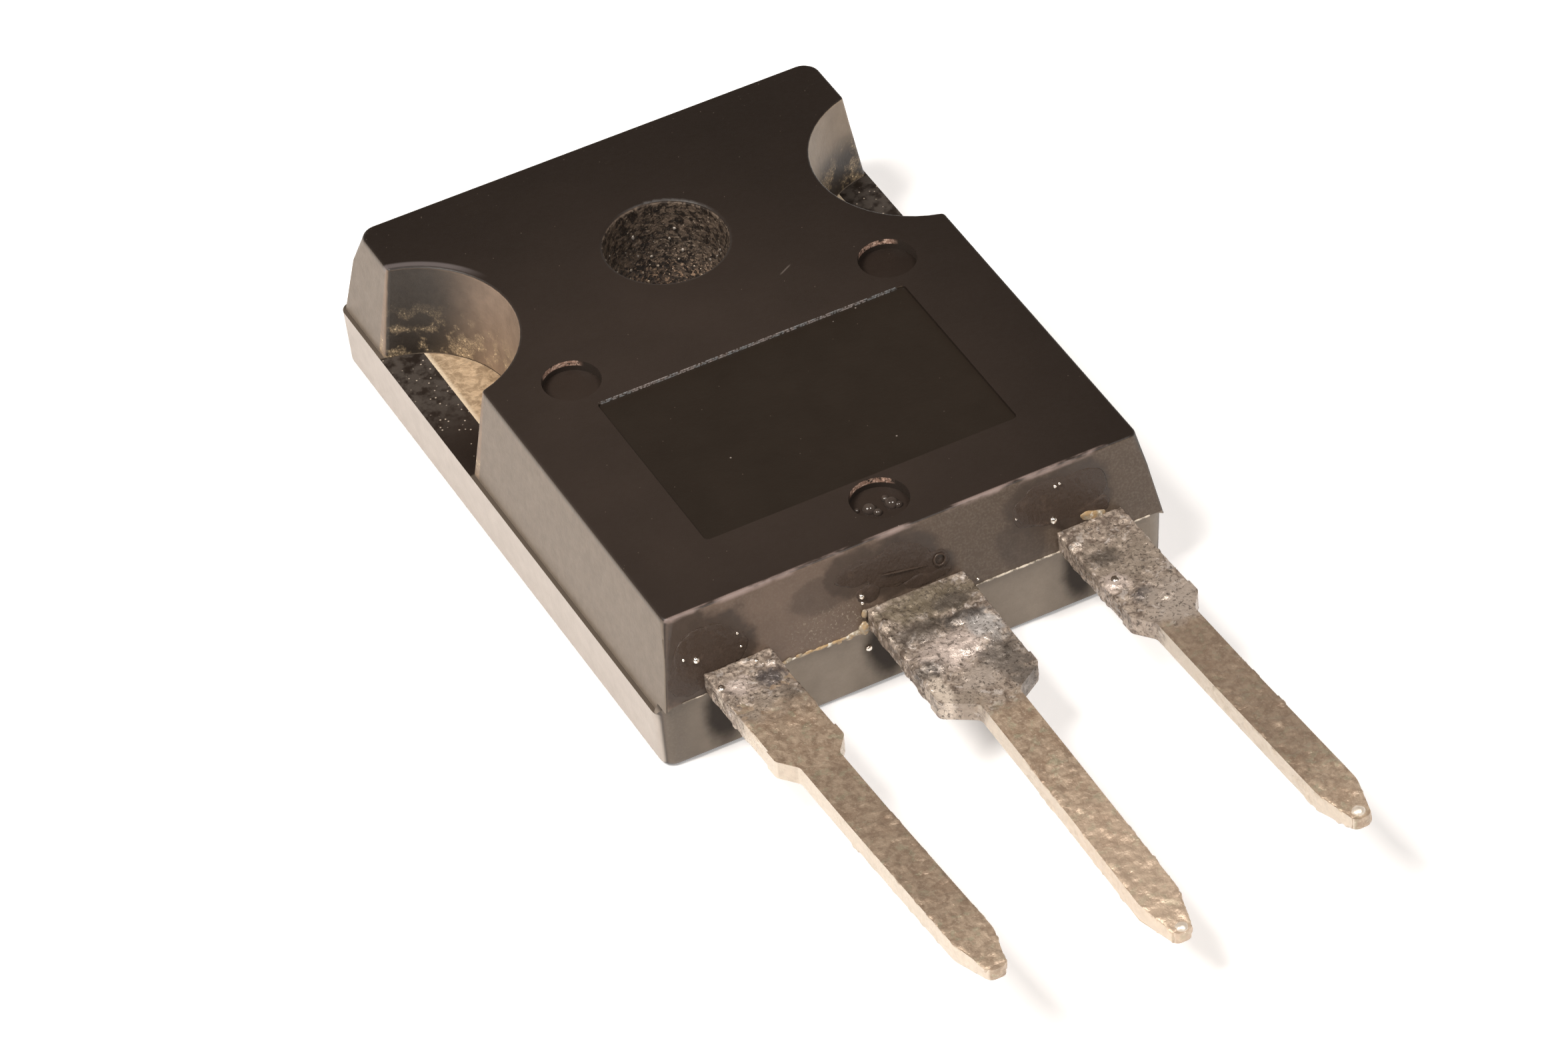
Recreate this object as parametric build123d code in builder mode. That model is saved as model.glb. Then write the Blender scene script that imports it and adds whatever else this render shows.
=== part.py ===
"""Power transistor with a diode beside it, in a flat three-lead moulded package.

Millimetres. The origin is on the axis of the mounting hole, in the plane of the flat back.
+Z points out of the marking face, +Y towards the end with the mounting hole, and the three
leads point towards -Y: gate at -X, collector in the middle, emitter at +X.
"""

import os
from math import atan2, radians, tan

from build123d import *

# ---------------------------------------------------------------- driving dimensions

# moulded body
body_thickness = 5.0
body_width = 15.6               # across the parting line of the two long sides
far_length = 5.55               # hole axis to the far end, at the parting line
near_length = 14.78             # hole axis to the wall that the leads come out of
upper_draft = 8.9               # degrees, upper mould half, sides and far end
front_draft = 11.7              # degrees, upper mould half, lead end
lower_draft = 3.0               # degrees, lower mould half
lower_margin = 0.09             # lower mould half beyond the upper one, sides and far end
mould_shift = (-0.04, 0.07)     # lower mould half against the upper one
far_corner_radius = 0.55        # upper mould half, at the top
far_corner_base_radius = 0.06   # the same corner below its rounded top
near_corner_radius = 0.30
near_corner_base_radius = 0.10
corner_round_depth = 1.1        # how far down the corners are rounded
lower_far_corner_radius = 0.25
lower_near_corner_radius = 0.40
parting_step_radius = 0.5       # where the parting line climbs at the corners of the lead end
parting_step_length = 0.5       # lead-end wall to where it drops again
top_edge_radius = 0.09
back_edge_radius = 0.22

# mounting hole
bore_diameter = 3.6
bore_rim_radius = 0.13

# side notches, on the line of the mounting hole
notch_axis_offset = 8.15        # bore axis to the axis of each notch
notch_floor_radius = 2.90
notch_draft = 4.8               # degrees
notch_edge_radius = 0.14

# round marks left by the pins of the mould
pin_mark_diameter = 1.7
pin_mark_depth = 0.35
pin_mark_spacing = 10.0         # between the two beside the marking panel
pin_mark_setback = 4.0          # hole axis to those two
lead_pin_mark_inset = 1.93      # lead-end wall to the single one near the leads

# marking panel, a very shallow rectangle in the top face
panel_width = 9.7
panel_setback = 5.25            # hole axis to its far edge
panel_inset = 2.88              # lead-end wall to its near edge
panel_depth = 0.08
panel_corner_radius = 0.15

# heat-spreader tab
tab_thickness = 2.0
tab_width = 13.46
tab_far_length = 4.70           # hole axis to its far end
tab_inset = 2.93                # lead-end wall to its lead end
tab_corner_radius = 0.8
tab_hole_diameter = 7.2
lock_groove_depth = 0.25        # V groove round the edge, which the plastic grips
dam_groove_depth = 0.15         # V groove across the top, between the hole and the dies
dam_groove_setback = 4.4

# leads
lead_thickness = 0.6
lead_height = 2.4               # flat back to the underside of the leads
lead_pitch = 5.46
outer_shoulder_width = 2.0
centre_shoulder_width = 3.0
shoulder_length = 4.1           # body wall to the end of the shoulders
shoulder_taper_length = 0.6     # where a shoulder narrows down to the leg
shoulder_corner_radius = 0.25
tie_stub_width = 0.05           # left of the tie bars, on each side of a shoulder's end
tie_stub_length = 0.5
leg_width = 1.2
lead_length = 14.65             # body wall to the tips
tip_taper_length = 1.35
tip_width = 0.50
tip_thickness = 0.36
tip_corner_radius = 0.22
tip_shoulder_radius = 1.6       # where the sides start to run together

# how far the tips of this used part are bent out of the plane of the leads
gate_tip_lift = 1.05
collector_tip_lift = -0.45
emitter_tip_lift = 0.95
bend_start = 1.0                # body wall to the first bend
bend_middle = 7.5               # body wall to the second bend
first_bend_share = 0.40         # share of the lift that is reached at the second bend

# inner ends of the leads
post_length = 1.7
post_inset = 0.75               # plastic between the lead-end wall and a bond post
post_side_gap = 0.75            # plastic between a bond post and the side of the body
gate_post_width = 3.2
emitter_post_width = 4.0
joggle_start = 0.9              # lead-end wall to where the centre lead slopes down
joggle_end_gap = 0.5            # foot of that slope to the tab

# dies and their solder
die_thickness = 0.20
solder_thickness = 0.08
solder_margin = 0.15
igbt_width = 5.4
igbt_length = 5.6
diode_width = 3.4
diode_length = 3.6
die_gap = 1.0                   # between the two dies
die_end_gap = 0.9               # dies to the lead end of the tab
die_side_gap = 1.4              # switching die to the gate side of the tab

# bond wires
power_wire_diameter = 0.40
gate_wire_diameter = 0.16
wire_sides = 6                  # the round wires are drawn as prisms
foot_length = 0.60
foot_squash = 0.25              # share of the diameter that a bond flattens away
loop_rise = 0.75                # top of a loop over the higher of its two feet
loop_slope_share = 0.3          # share of a loop's plan length that each of its slopes takes
loop_bend_share = 0.6           # radius of a loop's bends, as a share of that length
wire_pitch = 0.7                # spacing of wires that run side by side
emitter_wire_count = 2
diode_wire_count = 2
gate_foot_on_die = (-1.9, -2.0)         # from the middle of the die
emitter_foot_on_die = (1.1, -0.6)
diode_foot_on_die = (0.0, 0.3)
gate_foot_on_post = (0.0, 0.0)          # from the middle of the bond post
emitter_foot_on_post = (-0.95, -0.1)
diode_foot_on_post = (0.95, -0.1)

# ---------------------------------------------------------------- derived places

lead_top = lead_height + lead_thickness
die_bottom = tab_thickness + solder_thickness
die_top = die_bottom + die_thickness
tab_near_length = near_length - tab_inset
panel_near = near_length - panel_inset
lead_pin_mark_setback = near_length - lead_pin_mark_inset
shoulder_end = near_length + shoulder_length
tip_end = near_length + lead_length
post_near = near_length - post_inset
post_far = post_near - post_length


def drafted(size_at_parting, parting_height, draft, height):
    """Distance of a drafted wall from the hole axis at a height, wider below."""
    return size_at_parting + (parting_height - height) * tan(radians(draft))


def wall_outline(height, side_draft, end_draft, corner_radii, margin=0, shift=(0, 0)):
    """Rounded rectangle that the walls of one mould half pass through at a height."""
    half_width = drafted(body_width / 2 + margin, tab_thickness, side_draft, height)
    far = drafted(far_length + margin, tab_thickness, side_draft, height)
    near = drafted(near_length, lead_height, end_draft, height)
    with BuildSketch(Plane.XY.offset(height)) as outline:
        with Locations((shift[0], shift[1] + (far - near) / 2)):
            Rectangle(2 * half_width, far + near)
        fillet(outline.vertices().group_by(Axis.Y)[-1], corner_radii[0])
        fillet(outline.vertices().group_by(Axis.Y)[0], corner_radii[1])
    return outline.sketch


side_wall_at_leads = drafted(body_width / 2, tab_thickness, upper_draft, lead_top)
post_outer_edge = side_wall_at_leads - post_side_gap
gate_post_centre = -(post_outer_edge - gate_post_width / 2)
emitter_post_centre = post_outer_edge - emitter_post_width / 2

# ---------------------------------------------------------------- leads


def bent_edge(height, tip_height, tip_lift):
    """One edge of a lead's side view, from the body wall out to the tip, as (y, z) points."""
    start = near_length + bend_start
    middle = near_length + bend_middle
    taper = tip_end - tip_taper_length
    taper_share = first_bend_share + (1 - first_bend_share) * (taper - middle) / (tip_end - middle)
    return [
        (-start, height),
        (-middle, height + first_bend_share * tip_lift),
        (-taper, height + taper_share * tip_lift),
        (-tip_end, tip_height + tip_lift),
    ]


def lead_side_view(inner_top, inner_bottom, tip_lift):
    """Side view of a lead: its inner end, then level through the wall, then bent to its tip."""
    middle_height = lead_height + lead_thickness / 2
    top = inner_top + bent_edge(lead_top, middle_height + tip_thickness / 2, tip_lift)
    bottom = inner_bottom + bent_edge(lead_height, middle_height - tip_thickness / 2, tip_lift)
    with BuildSketch(Plane.YZ) as view:
        with BuildLine():
            Polyline(*top, *reversed(bottom), close=True)
        make_face()
    return view.sketch


def lead_plan(centre, shoulder_width, inner_end):
    """Plan of a lead outside its bond post: shoulder, stubs of the tie bars, leg and tip."""
    leg_start = shoulder_end + shoulder_taper_length
    taper = tip_end - tip_taper_length
    stub_edge = shoulder_width / 2 + tie_stub_width
    edge = [
        (shoulder_width / 2, -inner_end),
        (shoulder_width / 2, -shoulder_end + tie_stub_length),
        (stub_edge, -shoulder_end + tie_stub_length),
        (stub_edge, -shoulder_end),
        (leg_width / 2, -leg_start),
        (leg_width / 2, -taper),
        (tip_width / 2, -tip_end),
    ]
    right = [(centre + x, y) for x, y in edge]
    left = [(centre - x, y) for x, y in edge]
    with BuildSketch() as plan:
        with BuildLine():
            Polyline(*right, *reversed(left), close=True)
        make_face()
        fillet(plan.vertices().group_by(Axis.Y)[0], tip_corner_radius)
        shoulder_corners = plan.vertices().filter_by_position(Axis.Y, -leg_start, -shoulder_end)
        fillet(shoulder_corners, shoulder_corner_radius)
        fillet(plan.vertices().filter_by_position(Axis.Y, -taper, -taper), tip_shoulder_radius)
    return plan.sketch


def post_plan(centre, width, lead_centre):
    """Plan of a bond post and of the neck that carries it to its lead."""
    with BuildSketch() as plan:
        with Locations((centre, -(post_near + post_far) / 2)):
            Rectangle(width, post_length)
        with Locations((lead_centre, -near_length)):
            Rectangle(outer_shoulder_width, 2 * post_inset)
    return plan.sketch


def straight_lead(centre, tip_lift, post_centre, post_width):
    """An outer lead: a flat strip with a bond post inside the body, bent outside it."""
    with BuildPart() as lead:
        inner_end = [(-post_far, lead_top)], [(-post_far, lead_height)]
        extrude(lead_side_view(*inner_end, tip_lift), amount=body_width, both=True)
        outline = lead_plan(centre, outer_shoulder_width, near_length)
        outline += post_plan(post_centre, post_width, centre)
        extrude(outline, amount=2 * body_thickness, both=True, mode=Mode.INTERSECT)
    return lead.part


with BuildPart() as gate_lead:
    add(straight_lead(-lead_pitch, gate_tip_lift, gate_post_centre, gate_post_width))
gate_lead.part.label = "gate_lead"

with BuildPart() as emitter_lead:
    add(straight_lead(lead_pitch, emitter_tip_lift, emitter_post_centre, emitter_post_width))
emitter_lead.part.label = "emitter_lead"

# ---------------------------------------------------------------- tab and collector lead

# the centre lead slopes down inside the body and ends in the thick tab, all one copper piece
slope_top = near_length - joggle_start
slope_foot = tab_near_length + joggle_end_gap
slope_angle = atan2(lead_top - tab_thickness, slope_top - slope_foot)
underside_shift = lead_thickness * tan(slope_angle / 2)
root = tab_near_length - lead_thickness
stem_top = [(-root, tab_thickness), (-slope_foot, tab_thickness), (-slope_top, lead_top)]
stem_bottom = [
    (-root, tab_thickness - lead_thickness),
    (-slope_foot - underside_shift, tab_thickness - lead_thickness),
    (-slope_top - underside_shift, lead_height),
]

# lower half of the tab, with the chamfer that makes half of the lock groove round its edge
with BuildPart() as tab_half:
    with BuildSketch():
        with Locations((0, (tab_far_length - tab_near_length) / 2)):
            RectangleRounded(tab_width, tab_far_length + tab_near_length, tab_corner_radius)
    extrude(amount=tab_thickness / 2)
    chamfer(tab_half.faces().sort_by(Axis.Z)[-1].edges(), lock_groove_depth)

with BuildPart() as collector_leadframe:
    stem_view = lead_side_view(stem_top, stem_bottom, collector_tip_lift)
    extrude(stem_view, amount=body_width, both=True)
    stem_outline = lead_plan(0, centre_shoulder_width, root)
    extrude(stem_outline, amount=2 * body_thickness, both=True, mode=Mode.INTERSECT)
    add(tab_half.part)
    add(tab_half.part.mirror(Plane.XY.offset(tab_thickness / 2)))
    with BuildSketch(Plane.XY.offset(tab_thickness)):
        Circle(tab_hole_diameter / 2)
    extrude(amount=-tab_thickness, mode=Mode.SUBTRACT)
    with BuildSketch(Plane.YZ):
        with BuildLine():
            Polyline(
                (-dam_groove_setback - dam_groove_depth, tab_thickness),
                (-dam_groove_setback, tab_thickness - dam_groove_depth),
                (-dam_groove_setback + dam_groove_depth, tab_thickness),
                close=True,
            )
        make_face()
    extrude(amount=tab_width, both=True, mode=Mode.SUBTRACT)
collector_leadframe.part.label = "collector_leadframe"

# ---------------------------------------------------------------- dies on the tab

die_end = tab_near_length - die_end_gap
igbt_centre = (-tab_width / 2 + die_side_gap + igbt_width / 2, -die_end + igbt_length / 2)
diode_centre = (
    igbt_centre[0] + (igbt_width + diode_width) / 2 + die_gap,
    -die_end + diode_length / 2,
)


def plate(centre, width, length, bottom, thickness):
    """A die, or the solder layer under one."""
    with BuildPart() as layer:
        with BuildSketch(Plane.XY.offset(bottom)):
            with Locations(centre):
                Rectangle(width, length)
        extrude(amount=thickness)
    return layer.part


def solder_layer(centre, width, length):
    margin = 2 * solder_margin
    return plate(centre, width + margin, length + margin, tab_thickness, solder_thickness)


with BuildPart() as igbt_die_solder:
    add(solder_layer(igbt_centre, igbt_width, igbt_length))
igbt_die_solder.part.label = "igbt_die_solder"

with BuildPart() as diode_die_solder:
    add(solder_layer(diode_centre, diode_width, diode_length))
diode_die_solder.part.label = "diode_die_solder"

with BuildPart() as igbt_die:
    add(plate(igbt_centre, igbt_width, igbt_length, die_bottom, die_thickness))
igbt_die.part.label = "igbt_die"

with BuildPart() as diode_die:
    add(plate(diode_centre, diode_width, diode_length, die_bottom, die_thickness))
diode_die.part.label = "diode_die"

# ---------------------------------------------------------------- bond wires


def bond_wire(start, end, diameter, pads):
    """Wire looped from a die to a bond post, its two feet flattened on what they are bonded to."""
    foot_rise = diameter * (0.5 - foot_squash)
    first_foot = Vector(*start, die_top + foot_rise)
    last_foot = Vector(*end, lead_top + foot_rise)
    along = Vector(last_foot.X - first_foot.X, last_foot.Y - first_foot.Y, 0).normalized()
    loop_top = lead_top + loop_rise
    first_heel = first_foot + along * foot_length
    last_heel = last_foot - along * foot_length
    slope = (last_heel - first_heel).dot(along) * loop_slope_share
    first_bend = first_heel + along * slope
    last_bend = last_heel - along * slope
    with BuildPart() as wire:
        with BuildLine() as path:
            FilletPolyline(
                first_foot,
                first_heel,
                (first_bend.X, first_bend.Y, loop_top),
                (last_bend.X, last_bend.Y, loop_top),
                last_heel,
                last_foot,
                radius=slope * loop_bend_share,
            )
        with BuildSketch(Plane(origin=path.line @ 0, z_dir=path.line % 0)):
            RegularPolygon(diameter / 2, wire_sides, major_radius=False)
        sweep()
        for pad in pads:
            add(pad, mode=Mode.SUBTRACT)
    return wire.part


def moved(centre, foot):
    return (centre[0] + foot[0], centre[1] + foot[1])


post_middle = -(post_near + post_far) / 2
gate_post = (gate_post_centre, post_middle)
emitter_post = (emitter_post_centre, post_middle)

with BuildPart() as gate_bond_wire:
    feet = moved(igbt_centre, gate_foot_on_die), moved(gate_post, gate_foot_on_post)
    add(bond_wire(*feet, gate_wire_diameter, [igbt_die.part, gate_lead.part]))
gate_bond_wire.part.label = "gate_bond_wire"


def wire_group(name, count, die_centre, foot_on_die, foot_on_post, die):
    """Power wires that run side by side from one die to the emitter lead's bond post."""
    group = []
    first_foot = Vector(*moved(die_centre, foot_on_die))
    last_foot = Vector(*moved(emitter_post, foot_on_post))
    across = (last_foot - first_foot).normalized().rotate(Axis.Z, 90)
    for number in range(count):
        offset = across * wire_pitch * (number - (count - 1) / 2)
        start, end = first_foot + offset, last_foot + offset
        feet = (start.X, start.Y), (end.X, end.Y)
        with BuildPart() as wire:
            add(bond_wire(*feet, power_wire_diameter, [die, emitter_lead.part]))
        wire.part.label = f"{name}_{number + 1}"
        group.append(wire)
    return group


emitter_wires = wire_group(
    "emitter_bond_wire", emitter_wire_count,
    igbt_centre, emitter_foot_on_die, emitter_foot_on_post, igbt_die.part,
)
diode_wires = wire_group(
    "diode_bond_wire", diode_wire_count,
    diode_centre, diode_foot_on_die, diode_foot_on_post, diode_die.part,
)

# ---------------------------------------------------------------- moulded body

leadframe = [collector_leadframe, gate_lead, emitter_lead]
dies = [igbt_die_solder, diode_die_solder, igbt_die, diode_die]
bond_wires = [gate_bond_wire, *emitter_wires, *diode_wires]

upper_walls = (upper_draft, front_draft)
upper_corners = (far_corner_base_radius, near_corner_base_radius)
upper_top_corners = (far_corner_radius, near_corner_radius)
lower_corners = (lower_far_corner_radius, lower_near_corner_radius)

# the mould halves part at the top of the tab, and at the lead end under the leads, where the
# parting line climbs in a curve at each corner
with BuildPart() as below_parting:
    with BuildSketch():
        Rectangle(2 * body_width, 4 * near_length)
    extrude(amount=tab_thickness)
    with BuildSketch(Plane.XZ.offset(near_length - parting_step_length)) as lead_end_step:
        step_overhang = parting_step_radius - (lead_height - tab_thickness)
        with Locations((0, lead_height / 2)):
            Rectangle(body_width + 2 * step_overhang, lead_height)
        fillet(lead_end_step.vertices().group_by(Axis.Z)[-1], parting_step_radius)
    extrude(amount=near_length)

# lower mould half: slightly drafted walls and a rounded back edge
with BuildPart() as lower_half:
    lower_walls = (-lower_draft, -lower_draft, lower_corners)
    lower_base = wall_outline(0, *lower_walls, lower_margin, mould_shift)
    extrude(lower_base, amount=body_thickness, taper=-lower_draft)
    fillet(lower_half.faces().sort_by(Axis.Z)[0].edges(), back_edge_radius)
    add(below_parting.part, mode=Mode.INTERSECT)

with BuildPart() as moulded_body:
    # upper mould half, made down to the back and cut off at the parting line
    rounding_start = body_thickness - corner_round_depth
    upper_base = wall_outline(0, *upper_walls, upper_corners)
    upper_middle = wall_outline(rounding_start, *upper_walls, upper_corners)
    upper_top = wall_outline(body_thickness, *upper_walls, upper_top_corners)
    loft([upper_base, upper_middle, upper_top], ruled=True)

    # side notches, down to the level of the tab, which shows in their floor
    with BuildSketch(Plane.XY.offset(tab_thickness)):
        with Locations((-notch_axis_offset, 0), (notch_axis_offset, 0)):
            Circle(notch_floor_radius)
    extrude(amount=body_thickness - tab_thickness, taper=-notch_draft, mode=Mode.SUBTRACT)
    notch_walls = moulded_body.faces().filter_by(GeomType.CONE)
    notch_sides = notch_walls.edges().filter_by(lambda edge: edge.bounding_box().size.Z > notch_edge_radius)
    fillet(notch_sides, notch_edge_radius)
    top_outline = moulded_body.faces().sort_by(Axis.Z)[-1].edges()
    fillet(top_outline, top_edge_radius)
    add(below_parting.part, mode=Mode.SUBTRACT)
    add(lower_half.part)

    # mounting hole with a rounded rim
    with BuildSketch():
        Circle(bore_diameter / 2)
    extrude(amount=body_thickness, mode=Mode.SUBTRACT)
    rim = moulded_body.edges().filter_by(GeomType.CIRCLE).group_by(Axis.Z)[-1]
    fillet(rim, bore_rim_radius)

    # marks of the mould pins and the marking panel
    with BuildSketch(Plane.XY.offset(body_thickness)):
        with Locations((0, -pin_mark_setback)):
            with GridLocations(pin_mark_spacing, 0, 2, 1):
                Circle(pin_mark_diameter / 2)
        with Locations((0, -lead_pin_mark_setback)):
            Circle(pin_mark_diameter / 2)
    extrude(amount=-pin_mark_depth, mode=Mode.SUBTRACT)
    with BuildSketch(Plane.XY.offset(body_thickness)):
        with Locations((0, -(panel_setback + panel_near) / 2)):
            RectangleRounded(panel_width, panel_near - panel_setback, panel_corner_radius)
    extrude(amount=-panel_depth, mode=Mode.SUBTRACT)

    # the plastic fills all the room that the pieces inside leave
    for piece in leadframe + dies + bond_wires:
        add(piece.part, mode=Mode.SUBTRACT)
moulded_body.part.label = "moulded_body"

# ---------------------------------------------------------------- files

os.makedirs("parts", exist_ok=True)
for piece in [moulded_body, *leadframe, *dies, *bond_wires]:
    export_step(piece.part, f"parts/{piece.part.label}.step")
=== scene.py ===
"""Used power transistor in a flat three-lead moulded package, lying on its metal back.

Metres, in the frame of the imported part: the origin is on the axis of the mounting hole in the
plane of the back, +Z points out of the marking face, and the leads point towards -Y.
"""

from math import cos, pi, radians, sin, tan
from random import Random

import bpy
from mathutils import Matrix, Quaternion, Vector


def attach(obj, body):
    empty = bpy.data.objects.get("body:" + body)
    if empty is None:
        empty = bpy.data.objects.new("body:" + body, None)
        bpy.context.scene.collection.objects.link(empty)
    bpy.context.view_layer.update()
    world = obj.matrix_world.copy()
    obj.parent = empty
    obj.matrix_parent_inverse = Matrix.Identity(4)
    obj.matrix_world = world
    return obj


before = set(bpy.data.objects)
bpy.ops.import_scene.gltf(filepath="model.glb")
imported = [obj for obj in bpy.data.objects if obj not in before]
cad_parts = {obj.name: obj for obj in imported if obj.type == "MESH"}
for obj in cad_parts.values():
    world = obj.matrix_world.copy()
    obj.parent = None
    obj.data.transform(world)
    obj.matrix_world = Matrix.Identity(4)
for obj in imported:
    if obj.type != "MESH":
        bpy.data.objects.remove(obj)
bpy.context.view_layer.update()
mm = 0.001


# ------------------------------------------------------------------ table, light and camera
# The part lies on a plain white table. The table and the low part of the room are white, the
# room is dim overhead, and two soft lamps hang over it.

class Finish:
    """Node material of one finish. Its patterns are laid out in millimetres of the part."""

    def __init__(self, name, roughness=0.5, metallic=0.0, ior=1.5, **constants):
        self.material = bpy.data.materials.new(name)
        self.material.use_nodes = True
        self.nodes = self.material.node_tree.nodes
        self.links = self.material.node_tree.links
        self.nodes.clear()
        output = self.nodes.new("ShaderNodeOutputMaterial")
        self.shader = self.nodes.new("ShaderNodeBsdfPrincipled")
        self.links.new(self.shader.outputs["BSDF"], output.inputs["Surface"])
        self.shader.inputs["IOR"].default_value = ior
        for socket, value in constants.items():
            self.shader.inputs[socket.replace("_", " ")].default_value = value
        self.give("Roughness", roughness)
        self.give("Metallic", metallic)
        coordinates = self.nodes.new("ShaderNodeTexCoord")
        in_millimetres = self.nodes.new("ShaderNodeVectorMath")
        in_millimetres.operation = "SCALE"
        in_millimetres.inputs["Scale"].default_value = 1 / mm
        self.links.new(coordinates.outputs["Object"], in_millimetres.inputs[0])
        self.place = in_millimetres.outputs["Vector"]
        self.x, self.y, self.z = self.split(self.place)
        self.facing_x, self.facing_y, self.facing_z = self.split(coordinates.outputs["Normal"])

    def put(self, socket, value):
        """Feed a socket with another socket, a number or a colour."""
        if isinstance(value, bpy.types.NodeSocket):
            self.links.new(value, socket)
        elif isinstance(value, tuple) and socket.type == "RGBA":
            socket.default_value = (*value, 1)
        else:
            socket.default_value = value

    def give(self, name, value):
        """Feed one of the shader's own sockets."""
        self.put(self.shader.inputs[name], value)

    def split(self, vector):
        """The three parts of a place or a direction."""
        node = self.nodes.new("ShaderNodeSeparateXYZ")
        self.links.new(vector, node.inputs["Vector"])
        return node.outputs["X"], node.outputs["Y"], node.outputs["Z"]

    def calc(self, operation, *values):
        """Sum, product or another plain operation on numbers or patterns."""
        node = self.nodes.new("ShaderNodeMath")
        node.operation = operation
        for socket, value in zip(node.inputs, values):
            self.put(socket, value)
        return node.outputs["Value"]

    def rise(self, value, start, end):
        """Smooth step from 0 at start to 1 at end, which may lie below start."""
        node = self.nodes.new("ShaderNodeMapRange")
        node.interpolation_type = "SMOOTHSTEP"
        self.put(node.inputs["Value"], value)
        node.inputs["From Min"].default_value = start
        node.inputs["From Max"].default_value = end
        return node.outputs["Result"]

    def both(self, *shares):
        """Where all of the given patterns are present."""
        result = shares[0]
        for share in shares[1:]:
            result = self.calc("MULTIPLY", result, share)
        return result

    def band(self, value, low, high, blur):
        """1 between low and high, with soft ends."""
        return self.both(self.rise(value, low - blur, low + blur),
                         self.rise(value, high + blur, high - blur))

    def across(self, first, second):
        """Distance, from its two parts at right angles."""
        squares = [self.calc("POWER", part, 2.0) for part in (first, second)]
        return self.calc("SQRT", self.calc("ADD", *squares))

    def vector(self, operation, first, second):
        """Plain operation on two places or patterns of places."""
        node = self.nodes.new("ShaderNodeVectorMath")
        node.operation = operation
        for socket, value in zip(node.inputs, (first, second)):
            self.put(socket, value)
        return node

    def spot(self, centre, radii, blur=0.3, ragged=0.0, size=0.3):
        """1 inside an ellipsoid, fading out across its edge, which noise may make ragged."""
        away = self.vector("SUBTRACT", self.place, centre).outputs["Vector"]
        away = self.vector("DIVIDE", away, radii).outputs["Vector"]
        distance = self.vector("LENGTH", away, (0, 0, 0)).outputs["Value"]
        if ragged:
            shift = self.calc("SUBTRACT", self.grain(size, 3), 0.5)
            distance = self.calc("MULTIPLY_ADD", shift, ragged, distance)
        return self.rise(distance, 1 + blur, 1 - blur)

    def grain(self, size, detail=2.0, stretch=(1, 1, 1), tangle=0.0):
        """Cloudy noise around 0.5, with patches of about that size."""
        stretched = self.vector("DIVIDE", self.place, stretch).outputs["Vector"]
        node = self.nodes.new("ShaderNodeTexNoise")
        self.links.new(stretched, node.inputs["Vector"])
        node.inputs["Scale"].default_value = 1 / size
        node.inputs["Detail"].default_value = detail
        node.inputs["Roughness"].default_value = 0.6
        node.inputs["Distortion"].default_value = tangle
        return node.outputs["Fac"]

    def specks(self, spacing, radius, share):
        """Small round dots in some of the cells of a random grid."""
        node = self.nodes.new("ShaderNodeTexVoronoi")
        self.links.new(self.place, node.inputs["Vector"])
        node.inputs["Scale"].default_value = 1 / spacing
        picked, _, _ = self.split(node.outputs["Color"])
        dot = self.rise(node.outputs["Distance"], radius / spacing, 0.4 * radius / spacing)
        return self.both(dot, self.rise(picked, 1 - share, 1 - 0.8 * share))

    def mix(self, share, without, with_it):
        """Colour that goes from one to another where a pattern is present."""
        node = self.nodes.new("ShaderNodeMix")
        node.data_type = "RGBA"
        self.put(node.inputs["Factor"], share)
        self.put(node.inputs[6], without)
        self.put(node.inputs[7], with_it)
        return node.outputs[2]

    def mottled(self, size, first, second, detail=3):
        """Two colours in cloudy patches of about that size."""
        return self.mix(self.grain(size, detail), first, second)

    def paint(self, share, tone, strength=1.0):
        """Lay a tone over the colour so far, where a pattern is present."""
        if strength < 1:
            share = self.both(share, strength)
        self.colour = self.mix(share, self.colour, tone)

    def blend(self, share, without, with_it):
        """Number that goes from one to another where a pattern is present."""
        node = self.nodes.new("ShaderNodeMix")
        self.put(node.inputs["Factor"], share)
        self.put(node.inputs[2], without)
        self.put(node.inputs[3], with_it)
        return node.outputs[0]

    def relief(self, height, depth):
        """Fine unevenness of the surface: a height pattern and its depth in millimetres."""
        node = self.nodes.new("ShaderNodeBump")
        self.links.new(height, node.inputs["Height"])
        node.inputs["Strength"].default_value = 1.0
        node.inputs["Distance"].default_value = depth * mm
        self.links.new(node.outputs["Normal"], self.shader.inputs["Normal"])

    def cover(self, piece):
        """Give a piece this finish and no other."""
        piece.data.materials.clear()
        piece.data.materials.append(self.material)


bpy.ops.object.select_all(action="DESELECT")
bpy.ops.mesh.primitive_plane_add(size=3.0, location=(0, 0, -0.02 * mm))
table = bpy.context.object
table.name = "table"
bpy.ops.object.transform_apply(location=True)
table_white = Finish("table_white", roughness=0.9, Specular_IOR_Level=0.1)
table_white.give("Base Color", (0.88, 0.89, 0.91))
table_white.give("Emission Color", (1.0, 1.0, 1.0))
light_path = table_white.nodes.new("ShaderNodeLightPath").outputs
seen = table_white.calc("MAXIMUM", light_path["Is Camera Ray"], light_path["Is Glossy Ray"])
seen = table_white.calc("MAXIMUM", seen, light_path["Is Transmission Ray"])
table_white.give("Emission Strength", table_white.calc("MULTIPLY", seen, 0.30))
table_white.cover(table)

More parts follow.
